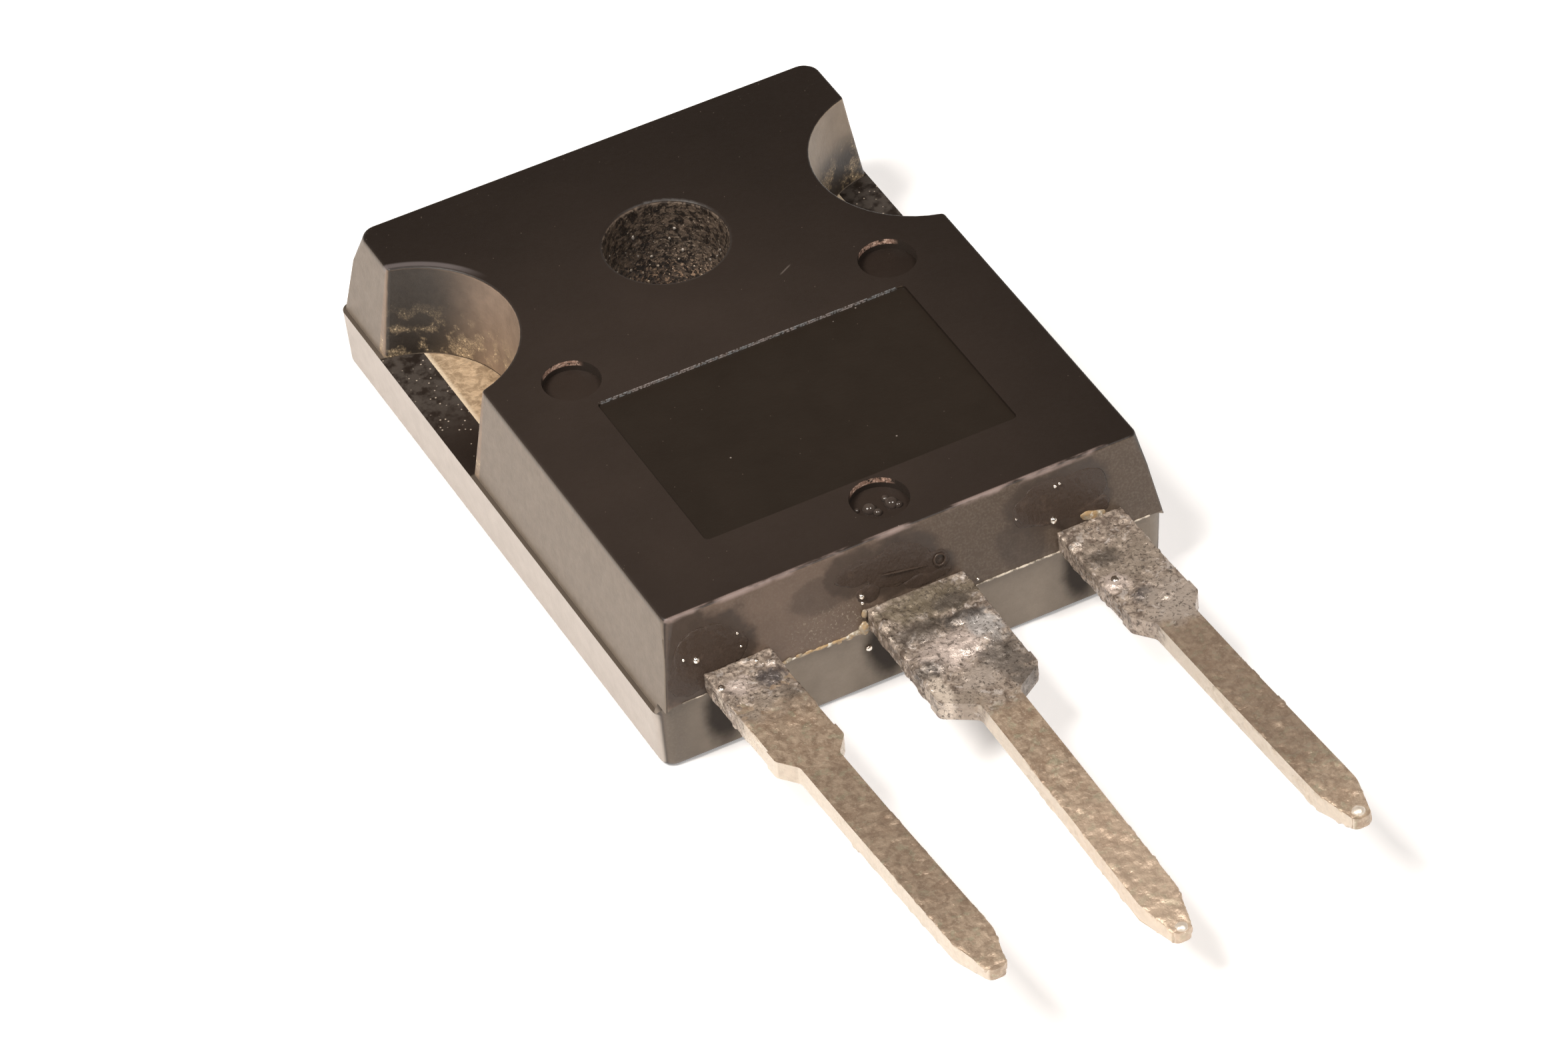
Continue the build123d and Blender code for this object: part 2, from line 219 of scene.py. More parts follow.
world = bpy.data.worlds.new("room")
bpy.context.scene.world = world
world.use_nodes = True
nodes, links = world.node_tree.nodes, world.node_tree.links
nodes.clear()
direction = nodes.new("ShaderNodeTexCoord")
height_above_floor = nodes.new("ShaderNodeSeparateXYZ")
links.new(direction.outputs["Generated"], height_above_floor.inputs["Vector"])
wall_tone = nodes.new("ShaderNodeValToRGB")
low_room, dim_room = wall_tone.color_ramp.elements
low_room.position, low_room.color = 0.04, (0.97, 0.92, 0.86, 1)
dim_room.position, dim_room.color = 0.42, (0.105, 0.082, 0.063, 1)
links.new(height_above_floor.outputs["Z"], wall_tone.inputs["Fac"])
background = nodes.new("ShaderNodeBackground")
links.new(wall_tone.outputs["Color"], background.inputs["Color"])
world_output = nodes.new("ShaderNodeOutputWorld")
links.new(background.outputs["Background"], world_output.inputs["Surface"])

aim = Vector((-1.53, -9.82, 2.5)) * mm      # what the camera and both lamps face


def towards(azimuth, elevation):
    """Direction from the part; azimuth is measured from -Y towards -X."""
    a, e = radians(azimuth), radians(elevation)
    return Vector((-sin(a) * cos(e), -cos(a) * cos(e), sin(e)))


def add_lamp(name, azimuth, elevation, distance, size, power, colour):
    """Soft square lamp that faces the part."""
    lamp = bpy.data.lights.new(name, "AREA")
    lamp.shape = "SQUARE"
    lamp.size = size
    lamp.energy = power
    lamp.color = colour
    holder = bpy.data.objects.new(name, lamp)
    bpy.context.scene.collection.objects.link(holder)
    away = towards(azimuth, elevation)
    holder.location = aim + away * distance
    holder.rotation_euler = away.to_track_quat("Z", "Y").to_euler()


lamp_distance = 0.50
add_lamp("key_lamp", 80, 58, lamp_distance, 0.16, 2.6, (1.0, 0.94, 0.87))
add_lamp("fill_lamp", -25, 66, lamp_distance, 0.12, 1.2, (1.0, 0.95, 0.90))

camera_azimuth, camera_elevation, camera_roll = 24.529, 41.785, 4.743
camera_distance = 221.45 * mm
camera = bpy.data.cameras.new("camera")
camera.lens = 183.514
camera.sensor_width = 36.0
camera.clip_start = 0.01
camera_holder = bpy.data.objects.new("camera", camera)
bpy.context.scene.collection.objects.link(camera_holder)
camera_holder.location = aim + towards(camera_azimuth, camera_elevation) * camera_distance
level = (-towards(camera_azimuth, camera_elevation)).to_track_quat("-Z", "Y")
camera_holder.rotation_mode = "QUATERNION"
camera_holder.rotation_quaternion = level @ Quaternion((0, 0, 1), radians(-camera_roll))
bpy.context.scene.camera = camera_holder
bpy.context.scene.view_settings.view_transform = "Standard"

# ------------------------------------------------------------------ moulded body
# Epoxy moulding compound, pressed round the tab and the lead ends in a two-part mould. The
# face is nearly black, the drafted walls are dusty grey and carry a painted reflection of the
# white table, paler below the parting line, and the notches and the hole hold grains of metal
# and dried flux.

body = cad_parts["moulded_body"]
body_top = 5.0
lead_end = 14.78                # hole axis to the lead-end wall, at its parting line
parting_height = 2.0            # along the sides and the far end
lead_parting = 2.4              # under the leads, where the parting line has climbed
wall_lean = radians(11.7)
hole_radius = 1.8
notch_axis, notch_radius = 8.15, 2.90
panel_half_width, panel_far, panel_near = 4.85, -5.25, -11.90
pin_mark_depth = 0.35


def wall_point(x, z, off=0.0):
    """Place on the drafted wall above the leads, or a little off it."""
    return (x, -lead_end + (z - lead_parting) * tan(wall_lean) - off, z)


epoxy = Finish("moulding_compound", Specular_IOR_Level=0.32,
               Coat_Weight=0.15, Coat_Roughness=0.40)
cloud = epoxy.grain(2.6, 3)
fine = epoxy.grain(0.16, 3)
near_middle = epoxy.spot((-3.0, -8.5, body_top), (8.5, 9.5, 6.0), 0.55)
epoxy.colour = epoxy.mix(
    near_middle,
    epoxy.mix(cloud, (0.0085, 0.0048, 0.0030), (0.0130, 0.0080, 0.0055)),
    epoxy.mix(cloud, (0.0190, 0.0125, 0.0092), (0.0300, 0.0205, 0.0160)))

# the drafted walls of the upper mould half: dusty grey, painted lighter as a reflection of the
# white table, with a painted shade along their rounded top rim
off_middle = epoxy.calc("ABSOLUTE", epoxy.x)
long_side = epoxy.both(epoxy.rise(epoxy.calc("ABSOLUTE", epoxy.facing_x), 0.70, 0.93),
                       epoxy.rise(off_middle, 6.0, 6.3))
# dusty grey with a painted reflection of the white table
dusty_sheen_side = epoxy.mottled(0.35, (0.138, 0.108, 0.082), (0.222, 0.180, 0.142))
epoxy.paint(long_side, dusty_sheen_side)
# painted shade along the rounded top rim of the long sides
top_rim_shade = epoxy.both(long_side, epoxy.rise(epoxy.z, 4.80, 4.97))
epoxy.paint(top_rim_shade, (0.050, 0.038, 0.029), 0.75)
lead_end_wall = epoxy.rise(epoxy.facing_y, -0.6, -0.9)
epoxy.paint(lead_end_wall, epoxy.mix(
    epoxy.rise(epoxy.x, -3.0, 2.5),
    epoxy.mottled(0.7, (0.105, 0.073, 0.055), (0.175, 0.125, 0.096)),
    epoxy.mottled(0.7, (0.066, 0.047, 0.034), (0.106, 0.076, 0.055))))

# below the parting line the walls are painted paler, mottled, as a reflection of the white table;
# under the leads the wall is painted darker towards the gate corner
lower_half = epoxy.both(epoxy.rise(epoxy.z, lead_parting + 0.02, lead_parting - 0.04),
                        epoxy.rise(epoxy.facing_z, 0.6, 0.3))
under_leads = epoxy.both(lower_half, lead_end_wall)
below_parting = epoxy.rise(epoxy.z, parting_height + 0.02, parting_height - 0.02)
epoxy.paint(epoxy.both(long_side, below_parting),
            epoxy.mottled(0.5, (0.37, 0.325, 0.290), (0.52, 0.462, 0.418)))
far_wall = epoxy.both(epoxy.rise(epoxy.facing_y, 0.6, 0.9), epoxy.rise(epoxy.y, 3.5, 4.5))
far_table_reflection = epoxy.mottled(0.5, (0.20, 0.170, 0.145), (0.29, 0.250, 0.215))
epoxy.paint(far_wall, epoxy.mix(below_parting, dusty_sheen_side, far_table_reflection), 0.8)
front_table_reflection = epoxy.mottled(0.6, (0.190, 0.156, 0.122), (0.300, 0.250, 0.200))
gate_corner = epoxy.both(epoxy.rise(epoxy.x, -6.0, -7.6), 0.7)
epoxy.paint(under_leads, epoxy.mix(gate_corner, front_table_reflection, (0.07, 0.054, 0.040)))

# pale grit lies on the lead-end wall
wall_grit = epoxy.both(lead_end_wall, epoxy.rise(epoxy.grain(0.07, 3), 0.40, 0.72))
epoxy.paint(wall_grit, (0.20, 0.165, 0.130), 0.30)
dusty = epoxy.both(lead_end_wall, epoxy.spot(wall_point(-2.5, 2.95), (1.3, 1.0, 0.55), 0.5),
                   epoxy.rise(epoxy.grain(0.075, 3, tangle=0.9), 0.57, 0.66))
epoxy.paint(dusty, (0.36, 0.31, 0.24), 0.6)

# flux has soaked into the wall above each lead and darkened it: x, z, half width, half height
# and strength of each stain
flux_stains = [
    (-7.00, 3.65, 1.20, 1.65, 1.0), (-5.85, 3.65, 1.05, 1.15, 1.0),
    (-0.35, 4.00, 1.35, 0.90, 1.0), (-1.55, 4.20, 1.15, 0.72, 0.9),
    (0.65, 3.50, 0.75, 0.50, 1.0), (-2.65, 4.00, 1.00, 0.55, 0.5),
    (5.15, 4.00, 1.15, 1.05, 1.0), (4.05, 4.05, 1.10, 0.85, 0.9), (3.40, 3.20, 0.75, 0.85, 0.6)]
soaked = 0.0
for stain_x, stain_z, half_width, half_height, strength in flux_stains:
    stain = epoxy.spot(wall_point(stain_x, stain_z), (half_width, 1.0, half_height), 0.18,
                       ragged=0.8, size=0.6)
    soaked = epoxy.calc("MAXIMUM", soaked, epoxy.both(stain, strength))
soaked = epoxy.both(soaked, lead_end_wall, epoxy.rise(epoxy.z, 2.30, 2.45))
soaked_brown = epoxy.mottled(0.35, (0.029, 0.0200, 0.0155), (0.068, 0.048, 0.037))
epoxy.paint(soaked, soaked_brown, 0.92)

# painted shadow that each lead casts on the wall below it: x, z, half width and half height
lead_shadows = [
    (-5.95, 1.55, 0.60, 1.30), (-0.90, 1.50, 0.66, 1.25), (5.15, 1.45, 0.58, 1.25)]
under_lead_shade = 0.0
for shadow_x, shadow_z, half_width, half_height in lead_shadows:
    lead_shadow = epoxy.spot((shadow_x, -lead_end, shadow_z), (half_width, 1.0, half_height), 0.38,
                        ragged=0.4, size=0.5)
    under_lead_shade = epoxy.calc("MAXIMUM", under_lead_shade, lead_shadow)
epoxy.paint(epoxy.both(under_lead_shade, under_leads), (0.014, 0.008, 0.005), 0.94)

# notches: matte curved walls with golden grains low down
from_notch_axis = epoxy.across(epoxy.calc("SUBTRACT", off_middle, notch_axis), epoxy.y)
in_notch = epoxy.both(
    epoxy.rise(from_notch_axis, notch_radius + 0.42, notch_radius + 0.34),
    epoxy.rise(epoxy.z, parting_height + 0.01, parting_height + 0.05),
    epoxy.rise(epoxy.facing_z, 0.7, 0.4))
# the gate notch wall is painted darker where it faces towards the leads, as shade; the emitter
# notch wall is darker towards the bottom
gate_notch = epoxy.mix(
    epoxy.rise(epoxy.facing_y, -0.25, -0.85),
    epoxy.mottled(0.5, (0.140, 0.096, 0.067), (0.310, 0.222, 0.160), 4),
    epoxy.mottled(0.5, (0.016, 0.012, 0.009), (0.052, 0.041, 0.032), 4))
emitter_notch = epoxy.mix(
    epoxy.rise(epoxy.z, 4.1, 2.9),
    epoxy.mottled(0.5, (0.185, 0.142, 0.103), (0.330, 0.262, 0.196), 4),
    epoxy.mottled(0.5, (0.018, 0.013, 0.010), (0.050, 0.038, 0.029), 4))
epoxy.paint(in_notch, epoxy.mix(epoxy.rise(epoxy.x, -0.5, 0.5), gate_notch, emitter_notch))
golden = epoxy.both(in_notch, epoxy.rise(epoxy.z, 4.0, 2.3),
                    epoxy.rise(epoxy.grain(0.55, 3), 0.47, 0.62))
epoxy.paint(golden, (0.36, 0.28, 0.18), 0.25)
fine_grains = epoxy.both(golden, epoxy.rise(epoxy.grain(0.055, 3, tangle=1.2), 0.48, 0.58))
epoxy.paint(fine_grains, (0.50, 0.38, 0.24), 0.70)
epoxy.paint(epoxy.both(golden, epoxy.specks(0.11, 0.034, 0.50)), (0.85, 0.68, 0.44))
# painted highlight along the rounded far rim of the gate notch
rim_highlight = epoxy.both(
    epoxy.rise(from_notch_axis, notch_radius + 0.55, notch_radius + 0.45),
    epoxy.rise(from_notch_axis, notch_radius + 0.28, notch_radius + 0.36),
    epoxy.rise(epoxy.z, 4.80, 4.90), epoxy.rise(epoxy.y, 1.2, 2.4),
    epoxy.rise(epoxy.x, 0.0, -1.0))
epoxy.paint(rim_highlight, (0.30, 0.265, 0.27), 0.30)

# beside the tab the floor of each notch is dusty and scuffed, with a paler ledge
notch_floor = epoxy.both(epoxy.rise(from_notch_axis, notch_radius + 0.02, notch_radius - 0.02),
                         epoxy.rise(epoxy.facing_z, 0.7, 0.9))
floor_dust = epoxy.both(notch_floor, epoxy.rise(epoxy.y, -1.6, 0.8),
                        epoxy.rise(epoxy.grain(0.30, 4), 0.36, 0.60))
epoxy.paint(floor_dust, (0.062, 0.052, 0.045), 0.8)
epoxy.paint(epoxy.both(notch_floor, epoxy.specks(0.14, 0.034, 0.35)), (0.42, 0.36, 0.30))
ledge = epoxy.both(epoxy.rise(from_notch_axis, notch_radius + 0.02, notch_radius + 0.10),
                   epoxy.rise(off_middle, 7.2, 7.5), epoxy.rise(epoxy.z, 2.6, 2.4),
                   epoxy.rise(epoxy.facing_z, 0.6, 0.9))
epoxy.paint(ledge, (0.095, 0.076, 0.060))

# the hole is rough inside, with pale grit that gets denser and redder towards the back
in_hole = epoxy.both(
    epoxy.rise(epoxy.across(epoxy.x, epoxy.y), hole_radius + 0.06, hole_radius + 0.02),
    epoxy.rise(epoxy.z, body_top - 0.03, body_top - 0.08))
epoxy.paint(in_hole, epoxy.mix(epoxy.rise(epoxy.grain(0.17, 3, tangle=0.8), 0.40, 0.62),
                               (0.022, 0.015, 0.011), (0.150, 0.112, 0.084)))
dense_grit = epoxy.both(epoxy.rise(epoxy.grain(0.09, 3, tangle=0.8), 0.54, 0.64),
                        epoxy.rise(epoxy.z, 4.8, 2.6), 0.8)
hole_grit = epoxy.calc("MAXIMUM", epoxy.specks(0.12, 0.036, 0.35), dense_grit)
epoxy.paint(epoxy.both(in_hole, hole_grit), epoxy.mix(
    epoxy.rise(epoxy.z, 3.6, 1.6), (0.36, 0.29, 0.23), (0.66, 0.43, 0.28)))

# the marking panel is smoother and a little greener, with a frosted step at its far edge
in_panel = epoxy.both(
    epoxy.band(epoxy.x, -panel_half_width, panel_half_width, 0.06),
    epoxy.band(epoxy.y, panel_near, panel_far + 0.01, 0.03),
    epoxy.rise(epoxy.z, body_top - 0.03, body_top - 0.06),
    epoxy.rise(epoxy.z, body_top - 0.20, body_top - 0.15))
epoxy.paint(in_panel, epoxy.mottled(1.1, (0.0135, 0.0092, 0.0062), (0.0205, 0.0148, 0.0108)))
frosted = epoxy.both(
    epoxy.band(epoxy.x, -panel_half_width + 0.10, panel_half_width - 0.25, 0.05),
    epoxy.band(epoxy.y, panel_far - 0.006, panel_far + 0.014, 0.010),
    epoxy.rise(epoxy.z, body_top - 0.20, body_top - 0.12),
    epoxy.rise(epoxy.grain(0.07, 2), 0.36, 0.58))
frost_tone = epoxy.mix(epoxy.rise(epoxy.grain(0.3, 1), 0.4, 0.6),
                       (0.34, 0.36, 0.38), (0.46, 0.41, 0.40))
epoxy.paint(frosted, frost_tone, 0.85)

# the wall of each pin mark is painted dark, but a little lighter than the face to lift the shade
# inside the mark, with coppery grains along the top of its far side: place of each mark, and
# shift and half width of its grains
pin_marks = [(-5.0, -4.0, -0.03, 0.64), (5.0, -4.0, -0.03, 0.64), (0.0, -12.85, 0.10, 0.80)]
steep = epoxy.rise(epoxy.facing_z, 0.8, 0.5)
for mark_x, mark_y, shift, half_width in pin_marks:
    mark = epoxy.spot((mark_x, mark_y, body_top - 0.15), (1.1, 1.1, 0.4), 0.1)
    epoxy.paint(epoxy.both(mark, steep), (0.036, 0.027, 0.022))
    far_side = epoxy.spot((mark_x + shift, mark_y + 0.80, body_top - 0.1),
                          (half_width, 0.36, 0.6))
    crescent = epoxy.both(epoxy.band(epoxy.z, body_top - 0.17, body_top, 0.02), far_side,
                          steep, epoxy.rise(epoxy.grain(0.09, 2), 0.30, 0.52))
    epoxy.paint(crescent, epoxy.mix(epoxy.rise(epoxy.grain(0.08, 2), 0.45, 0.65),
                                    (0.42, 0.26, 0.20), (0.95, 0.68, 0.55)))

# wear: a rubbed edge above the leads, painted lighter for wear and for the highlight along its
# rounded edge, and pale dust and one small scratch on the face
near_edge = -14.23
edge_wear_and_highlight = epoxy.both(
    epoxy.band(epoxy.y, near_edge - 0.10, near_edge + 0.10, 0.03),
    epoxy.rise(epoxy.z, body_top - 0.14, body_top - 0.05),
    epoxy.rise(epoxy.grain(0.5, 3, stretch=(2.5, 1, 1)), 0.36, 0.60))
epoxy.paint(edge_wear_and_highlight, (0.30, 0.23, 0.21), 0.75)
face_up = epoxy.rise(epoxy.facing_z, 0.9, 0.97)
far_dust = epoxy.both(face_up, epoxy.rise(epoxy.y, 3.2, 5.4), epoxy.specks(0.16, 0.024, 0.50),
                      epoxy.rise(epoxy.grain(1.2, 2), 0.40, 0.60))
epoxy.paint(far_dust, (0.12, 0.098, 0.080), 0.8)
epoxy.paint(epoxy.both(face_up, epoxy.specks(0.30, 0.020, 0.30)), (0.13, 0.105, 0.085), 0.7)
epoxy.paint(epoxy.both(face_up, epoxy.specks(0.85, 0.035, 0.35)), (0.24, 0.21, 0.19))
scratch_place, scratch_turn = (2.31, -2.91, body_top), 0.5
from_scratch = epoxy.vector("SUBTRACT", epoxy.place, scratch_place).outputs["Vector"]
lengthwise, crosswise = (
    epoxy.vector("DOT_PRODUCT", from_scratch, axis).outputs["Value"]
    for axis in ((cos(scratch_turn), sin(scratch_turn), 0),
                 (-sin(scratch_turn), cos(scratch_turn), 0)))
scratch = epoxy.both(face_up, epoxy.band(lengthwise, -0.22, 0.22, 0.08),
                     epoxy.band(crosswise, -0.02, 0.02, 0.02))
epoxy.paint(scratch, (0.12, 0.100, 0.088), 0.7)
epoxy.give("Base Color", epoxy.colour)

rough = epoxy.blend(fine, 0.40, 0.56)
rough = epoxy.blend(in_panel, rough, 0.36)
rough = epoxy.blend(in_hole, rough, 0.55)
rough = epoxy.blend(epoxy.rise(soaked, 0.55, 1.0), rough,
                    epoxy.blend(epoxy.grain(0.3, 3), 0.24, 0.42))
# the painted shadow under the leads is made rough too, so that it shows no sheen
rough = epoxy.blend(under_lead_shade, rough, 0.85)
epoxy.give("Roughness", rough)
unevenness = epoxy.calc("ADD", epoxy.calc("MULTIPLY", fine, 0.5),
                        epoxy.both(in_hole, epoxy.grain(0.22, 3), 9.0))
side_grain = epoxy.both(epoxy.calc("MAXIMUM", long_side, in_notch), epoxy.grain(0.10, 2), 0.6)
epoxy.relief(epoxy.calc("ADD", unevenness, side_grain), 0.012)
epoxy.cover(body)

# ------------------------------------------------------------------ tab and leads
# Copper strip plated with dull tin, stamped in one frame and cut apart after moulding. The
# legs were soldered to a board once and pulled out, so the tin is mottled and brownish.

def tin_plate(name):
    """Dull tin over copper, mottled and stained, darker on the outer legs, with a painted highlight
    on its side faces.
    """
    finish = Finish(name, metallic=0.45, ior=1.6)
    mottle = finish.rise(finish.grain(0.20, 4, stretch=(1, 1.4, 1), tangle=0.4), 0.32, 0.68)
    finish.colour = finish.mix(mottle, (0.285, 0.208, 0.150), (0.51, 0.400, 0.300))
    brown_stain = finish.rise(finish.grain(0.8, 3), 0.50, 0.68)
    finish.paint(brown_stain, (0.30, 0.20, 0.135), 0.40)
    green_stain = finish.rise(finish.grain(0.30, 3), 0.54, 0.66)
    finish.paint(green_stain, (0.36, 0.37, 0.26), 0.45)
    speckle = finish.rise(finish.grain(0.075, 2), 0.56, 0.68)
    finish.paint(speckle, (0.72, 0.60, 0.48), 0.30)
    near_tip = finish.rise(finish.y, -26.6, -28.9)
    finish.paint(near_tip, (0.84, 0.69, 0.54), 0.10)
    outer_legs = finish.blend(
        finish.rise(finish.x, -2.0, 2.0), finish.both(finish.rise(finish.x, -3.0, -5.0), 0.34),
        finish.both(finish.rise(finish.x, 3.0, 5.0), 0.52))
    darker = finish.both(finish.blend(finish.rise(finish.y, -20.3, -19.3), outer_legs, 0.10),
                         finish.rise(finish.y, -28.5, -25.5))
    finish.paint(darker, (0.19, 0.140, 0.103))
    # painted highlight on the side faces of the strip
    side_face_highlight = finish.rise(finish.calc("ABSOLUTE", finish.facing_x), 0.6, 0.9)
    finish.paint(side_face_highlight, (0.80, 0.72, 0.62), 0.7)
    return finish


def finish_tin(finish):
    """Uneven gloss and fine pitting, under the colour so far."""
    finish.give("Base Color", finish.colour)
    finish.give("Roughness", finish.blend(finish.grain(0.25, 3), 0.32, 0.58))
    finish.relief(finish.grain(0.13, 4), 0.030)


def old_solder(finish, zones):
    """Grey solder with white residue, black flux and pits; zones are (place, radii, tone)."""
    cloud = finish.rise(finish.grain(0.24, 4, tangle=0.8), 0.32, 0.68)
    solder = finish.mix(cloud, (0.17, 0.130, 0.105), (0.52, 0.435, 0.365))
    residue = finish.rise(finish.grain(0.30, 3, tangle=0.5), 0.56, 0.66)
    solder = finish.mix(finish.both(residue, 0.7), solder, (0.66, 0.60, 0.56))
    for place, radii, tone in zones:
        zone = finish.spot(place, radii, 0.45, ragged=2.2, size=0.30)
        solder = finish.mix(finish.both(zone, 0.85), solder, tone)
    burnt = finish.rise(finish.grain(0.20, 3, tangle=0.7), 0.40, 0.30)
    solder = finish.mix(finish.both(burnt, 0.65), solder, (0.040, 0.032, 0.027))
    pits = finish.rise(finish.grain(0.10, 3, tangle=0.5), 0.46, 0.36)
    return finish.mix(finish.both(pits, 0.70), solder, (0.070, 0.056, 0.046))


def thinned(finish, start, end):
    """Where solder has thinned out to bare tin, past a ragged line along a lead."""
    ragged_y = finish.calc("MULTIPLY_ADD", finish.grain(0.45, 3), 1.4,
                           finish.calc("SUBTRACT", finish.y, 0.7))
    return finish.rise(ragged_y, start, end)


olive, black, dark_blue = (0.20, 0.165, 0.115), (0.066, 0.057, 0.051), (0.085, 0.076, 0.080)
rosy, bluish, cream = (0.68, 0.58, 0.53), (0.56, 0.54, 0.53), (0.80, 0.70, 0.60)
soot, ashen = (0.115, 0.096, 0.080), (0.46, 0.395, 0.345)
brown, grey_brown, slate = (0.22, 0.180, 0.148), (0.36, 0.300, 0.247), (0.155, 0.135, 0.119)
collector_thins = (-19.3, -20.1)
collector_zones = [
    ((0.1, -15.3, 3.0), (1.5, 0.62, 0.6), olive),
    ((0.65, -15.55, 3.0), (0.60, 0.35, 0.6), soot),
    ((-0.2, -17.3, 3.0), (1.0, 0.65, 0.6), rosy),
    ((0.95, -16.9, 3.0), (0.45, 0.60, 0.6), bluish),
    ((-0.70, -16.25, 3.0), (0.80, 0.42, 0.6), soot),
    ((0.60, -16.30, 3.0), (0.60, 0.26, 0.6), black),
    ((-1.2, -17.7, 3.0), (0.40, 0.30, 0.6), black),
    ((0.85, -18.2, 2.9), (0.70, 0.65, 0.8), slate),
    ((-0.1, -18.6, 2.9), (0.60, 0.40, 0.8), ashen),
    ((1.1, -19.2, 2.8), (0.50, 0.35, 0.8), slate),
    ((-1.30, -18.6, 2.8), (0.22, 0.75, 0.8), cream),
    ((-0.75, -19.2, 2.8), (0.45, 0.30, 0.8), grey_brown),
]
emitter_thins = (-19.4, -20.2)
emitter_zones = [
    ((5.6, -16.6, 3.0), (1.1, 0.9, 0.6), grey_brown),
    ((5.2, -18.2, 3.1), (0.35, 0.28, 0.5), dark_blue),
    ((5.85, -18.6, 3.1), (0.75, 0.60, 0.6), ashen),
    ((5.0, -16.3, 3.0), (0.45, 0.35, 0.5), soot),
    ((4.75, -17.4, 3.05), (0.35, 0.35, 0.5), rosy),
    ((5.7, -19.3, 3.1), (0.80, 0.50, 0.8), ashen),
]

lead_tin = tin_plate("lead_tin")
emitter_side = lead_tin.rise(lead_tin.x, 2.0, 3.0)
not_thinned = lead_tin.calc("SUBTRACT", 1.0, thinned(lead_tin, *emitter_thins))
lead_tin.paint(lead_tin.both(emitter_side, not_thinned), old_solder(lead_tin, emitter_zones))
finish_tin(lead_tin)
for name in ("gate_lead", "emitter_lead"):
    lead_tin.cover(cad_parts[name])

# the centre lead wears old solder too, and the tab keeps its clean plating, which the hot
# mould has turned a pale gold
tab_top, tab_side = 2.0, 6.73
frame_tin = tin_plate("leadframe_tin")
frame_tin.paint(frame_tin.rise(frame_tin.y, -22.0, -26.0), (0.80, 0.64, 0.50), 0.30)
frame_tin.colour = frame_tin.mix(thinned(frame_tin, *collector_thins),
                                 old_solder(frame_tin, collector_zones), frame_tin.colour)
gold = frame_tin.mix(frame_tin.rise(frame_tin.grain(0.28, 4, tangle=0.8), 0.34, 0.66),
                     (0.38, 0.275, 0.175), (0.66, 0.50, 0.335))
scratches = frame_tin.rise(frame_tin.grain(0.12, 3, stretch=(9, 1, 1)), 0.60, 0.72)
gold = frame_tin.mix(frame_tin.both(scratches, 0.5), gold, (0.34, 0.27, 0.19))
# painted highlight along the side edges of the tab
tab_edge_highlight = frame_tin.rise(frame_tin.calc("ABSOLUTE", frame_tin.x), tab_side - 0.17, tab_side - 0.03)
gold = frame_tin.mix(tab_edge_highlight, gold, (0.86, 0.72, 0.54))
frame_tin.paint(frame_tin.rise(frame_tin.z, tab_top + 0.06, tab_top + 0.02), gold)
finish_tin(frame_tin)
frame_tin.cover(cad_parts["collector_leadframe"])

# ------------------------------------------------------------------ dies and bond wires
# Inside the moulding two silicon dies are soldered to the tab, and drawn aluminium wires run
# from them to the lead ends.

silicon = Finish("silicon", ior=3.0)
streets_per_mm = 1.1
tile_x = silicon.calc("FRACT", silicon.calc("MULTIPLY", silicon.x, streets_per_mm))
streets = silicon.rise(tile_x, 0.90, 0.96)
silicon.colour = silicon.mottled(0.8, (0.20, 0.21, 0.24), (0.27, 0.28, 0.30), 2)
silicon.paint(streets, (0.50, 0.50, 0.47))
silicon.give("Base Color", silicon.colour)
silicon.give("Roughness", silicon.blend(silicon.grain(0.3), 0.12, 0.25))
silicon.relief(streets, 0.01)
for name in ("igbt_die", "diode_die"):
    silicon.cover(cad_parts[name])

die_solder = Finish("die_solder", metallic=0.9)
wetting = die_solder.grain(0.35, 4)
die_solder.give("Base Color", die_solder.mix(wetting, (0.46, 0.46, 0.46), (0.64, 0.63, 0.62)))
die_solder.give("Roughness", die_solder.blend(wetting, 0.28, 0.5))
die_solder.relief(wetting, 0.02)
for name in ("igbt_die_solder", "diode_die_solder"):
    die_solder.cover(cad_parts[name])

wire_metal = Finish("drawn_aluminium", metallic=1.0)
draw_marks = wire_metal.grain(0.08, 3, stretch=(1, 8, 1))
wire_metal.give("Base Color", wire_metal.mix(draw_marks, (0.70, 0.70, 0.72), (0.86, 0.86, 0.87)))
wire_metal.give("Roughness", wire_metal.blend(draw_marks, 0.18, 0.34))
wire_metal.relief(draw_marks, 0.004)
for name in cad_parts:
    if "bond_wire" in name:
        wire_metal.cover(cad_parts[name])

# ------------------------------------------------------------------ solder on the shoulders
# Each shoulder still wears the solder of its old joint, with burnt flux in it: a lumpy skin
# from the wall of the body to the end of the shoulder, where it is smeared thin. New pieces
# are shaped in millimetres and brought to metres when they are done.

lead_pitch = 5.46
lead_middle, lead_thickness = 2.7, 0.6
level_until = 15.78             # hole axis to where the leads start to rise or fall
skin_proud = 0.03
skin_voxel = 0.055


def pick_faces(piece, wanted):
    """Select, in edit mode, the faces whose normal is wanted."""
    bpy.ops.object.mode_set(mode="EDIT")
    bpy.ops.mesh.select_mode(type="FACE")
    bpy.ops.mesh.select_all(action="DESELECT")
    bpy.ops.object.mode_set(mode="OBJECT")
    for face in piece.data.polygons:
        face.select = wanted(face.normal)
    bpy.ops.object.mode_set(mode="EDIT")


def use_modifier(piece, kind, **settings):
    """Add a modifier, set it up and apply it."""
    modifier = piece.modifiers.new(kind, kind)
    for name, value in settings.items():
        setattr(modifier, name, value)
    bpy.context.view_layer.objects.active = piece
    bpy.ops.object.modifier_apply(modifier=modifier.name)


